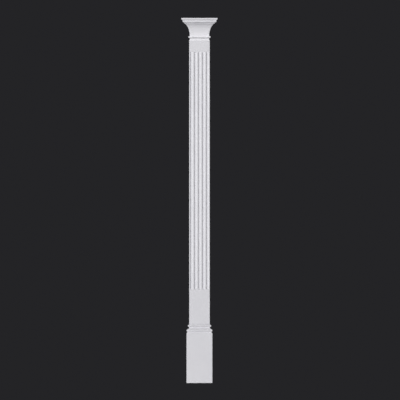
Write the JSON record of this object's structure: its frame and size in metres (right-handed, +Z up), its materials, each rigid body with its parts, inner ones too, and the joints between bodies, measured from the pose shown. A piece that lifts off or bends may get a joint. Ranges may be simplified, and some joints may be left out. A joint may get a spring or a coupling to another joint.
{
  "type": "pilaster",
  "caption": "White primed fluted pilaster in separate mouldings: a plain plinth block with a torus, a flat shaft with stopped flutes and a flaring capital with a long hollow.",
  "frame": {"origin": "middle of the foot's back edge, where the back of the base meets the wall at floor level", "axes": "+Z up along the shaft; +Y out of the flat backs into the wall, so the front looks to -Y; +X across the width"},
  "size_m": [0.308, 0.085, 3.0966],
  "materials": {
    "base_primer": "matt white primer on moulded polyurethane foam",
    "shaft_primer": "matt white primer on moulded polyurethane foam",
    "capital_primer": "matt white primer on moulded polyurethane foam"
  },
  "bodies": {
    "root": {"base": "base_primer", "shaft": "shaft_primer", "capital": "capital_primer"}
  },
  "joints": []
}
